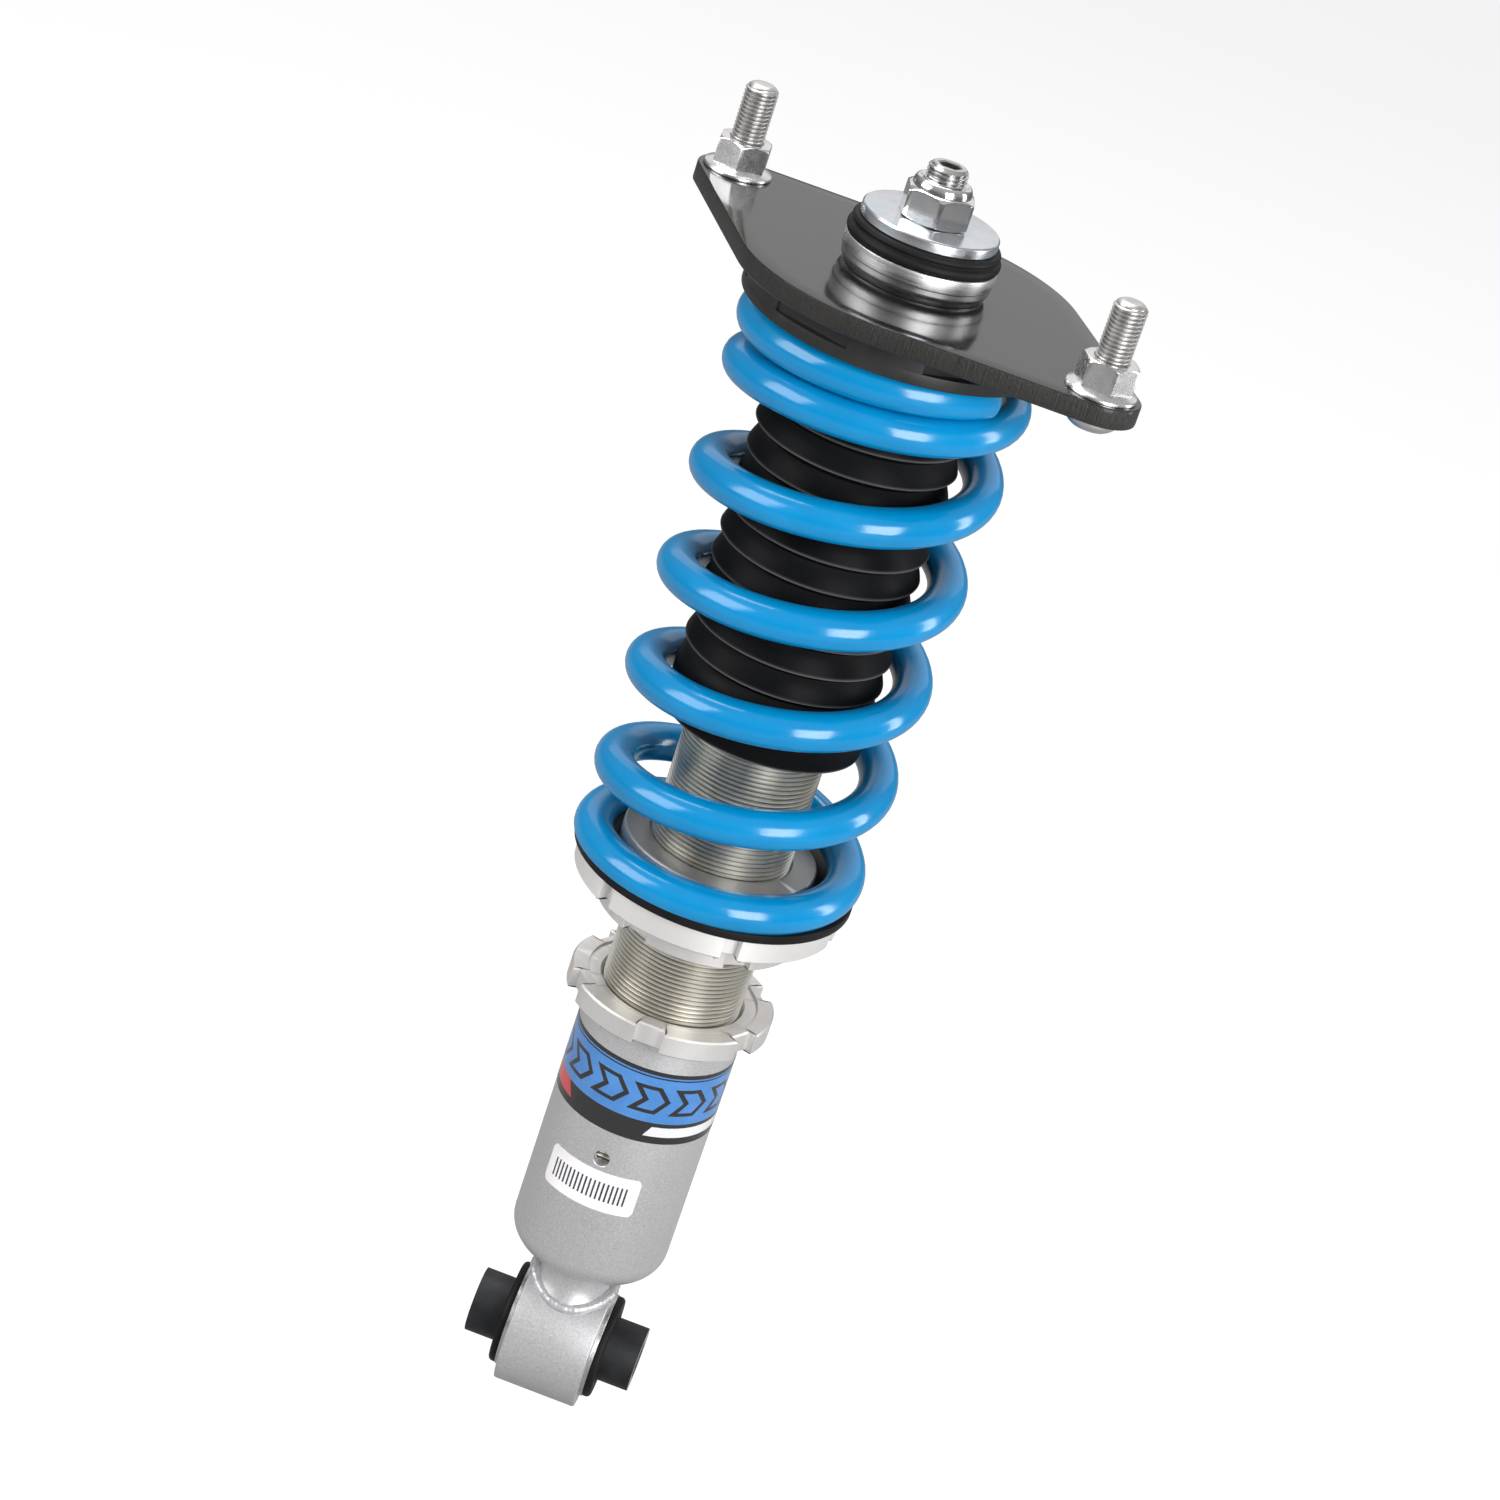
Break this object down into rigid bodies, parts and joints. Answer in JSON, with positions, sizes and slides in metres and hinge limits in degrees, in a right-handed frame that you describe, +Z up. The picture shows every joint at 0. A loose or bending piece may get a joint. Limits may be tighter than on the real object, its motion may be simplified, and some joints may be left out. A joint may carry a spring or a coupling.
{
  "type": "strut assembly",
  "caption": "Coil-over strut: two-stud top plate, coil spring on a threaded damper with adjustable perch, and a lower bracket with a rubber-bushed eye.",
  "frame": {"origin": "centre of the lower eye, on the bolt's axis and midway along the bush sleeve", "axes": "+Z up the strut's axis to the rod tip, +X along the bolt through the eye"},
  "size_m": [0.1472, 0.103, 0.4284],
  "materials": {
    "plate_black": "gloss black powder coat",
    "seat_black": "satin black moulding",
    "stud_steel": "dull nickel-grey plating",
    "zinc_steel": "bright zinc plating with a blue tint",
    "cup_steel": "turned zinc-plated steel",
    "mount_rubber": "matte black rubber",
    "chromed_rod": "hard chrome, ground",
    "dark_steel": "oiled steel",
    "machined_aluminium": "machined",
    "slip_plastic": "satin black",
    "bump_foam": "microcellular foam",
    "blue_spring": "gloss blue powder coat",
    "boot_black": "satin black",
    "thread_plating": "yellowish nickel plating on a cut thread",
    "satin_aluminium": "fine-blasted, anodised silver",
    "silver_paint": "silver metallic paint with a fine grain",
    "label_film": "printed film, blue and black bands",
    "label_white": "plain white label",
    "sleeve_black": "satin black coating on steel"
  },
  "bodies": {
    "top_mount": {"mount_plate": "plate_black", "mount_studs": "stud_steel", "flange_nuts": "zinc_steel", "upper_spring_seat": "seat_black", "bush_cup": "cup_steel", "upper_mount_bush": "mount_rubber", "lower_mount_bush": "mount_rubber", "clamp_sleeve": "cup_steel", "top_washer": "zinc_steel", "lower_washer": "zinc_steel", "rod_lock_nut": "zinc_steel", "piston_rod": "chromed_rod", "piston": "machined_aluminium", "piston_band": "slip_plastic", "valve_shims": "dark_steel", "piston_nut": "dark_steel", "bump_stop": "bump_foam", "coil_spring": "blue_spring", "dust_boot": "boot_black"},
    "damper": {"damper_body": "thread_plating", "gland_cap": "machined_aluminium", "rod_seal": "mount_rubber", "rod_guide": "machined_aluminium", "guide_seal_ring": "mount_rubber", "base_plug": "machined_aluminium", "fill_screw": "dark_steel"},
    "gas_piston": {"gas_piston": "machined_aluminium", "gas_piston_ring": "mount_rubber"},
    "spring_end": {"spring_isolator": "slip_plastic"},
    "perch": {"spring_perch": "satin_aluminium", "perch_lock_ring": "satin_aluminium"},
    "lower_bracket": {"lower_bracket": "silver_paint", "bracket_neck": "silver_paint", "neck_weld": "silver_paint", "band_label": "label_film", "plate_label": "label_white", "eye_barrel": "silver_paint", "bush_shell": "cup_steel", "bush_rubber": "mount_rubber"},
    "lower_ring": {"lower_lock_ring": "satin_aluminium"},
    "eye_sleeve": {"bush_sleeve": "sleeve_black"}
  },
  "joints": [
    {"name": "stroke", "type": "slide", "parent": "top_mount", "child": "damper", "axis": [0, 0, 1], "range_m": [0, 0.07], "stiffness_N_per_m": 58800, "deforming": ["coil_spring", "dust_boot"]},
    {"name": "gas_piston_travel", "type": "slide", "parent": "damper", "child": "gas_piston", "axis": [0, 0, 1], "range_m": [-0.0096, 0]},
    {"name": "preload_travel", "type": "slide", "parent": "damper", "child": "spring_end", "axis": [0, 0, 1], "range_m": [-0.0075, 0]},
    {"name": "perch_turn", "type": "hinge", "parent": "spring_end", "child": "perch", "pos_m": [0, 0, 0.17], "axis": [0, 0, 1], "range_deg": [-1800, 0]},
    {"name": "ride_height", "type": "slide", "parent": "damper", "child": "lower_bracket", "axis": [0, 0, 1], "range_m": [-0.021, 0.009]},
    {"name": "lower_ring_turn", "type": "hinge", "parent": "lower_bracket", "child": "lower_ring", "pos_m": [0, 0, 0.129], "axis": [0, 0, 1], "range_deg": [-5040, 2160]},
    {"name": "bush_twist", "type": "hinge", "parent": "lower_bracket", "child": "eye_sleeve", "pos_m": [0, 0, 0], "axis": [1, 0, 0], "range_deg": [-15, 15], "stiffness_Nm_per_rad": 30}
  ],
  "couplings": [
    {"joint": "gas_piston_travel", "follows": "stroke", "ratio": -0.13573},
    {"joint": "perch_turn", "follows": "preload_travel", "rad_per_m": 4188.8},
    {"joint": "lower_ring_turn", "follows": "ride_height", "rad_per_m": 4188.8}
  ]
}
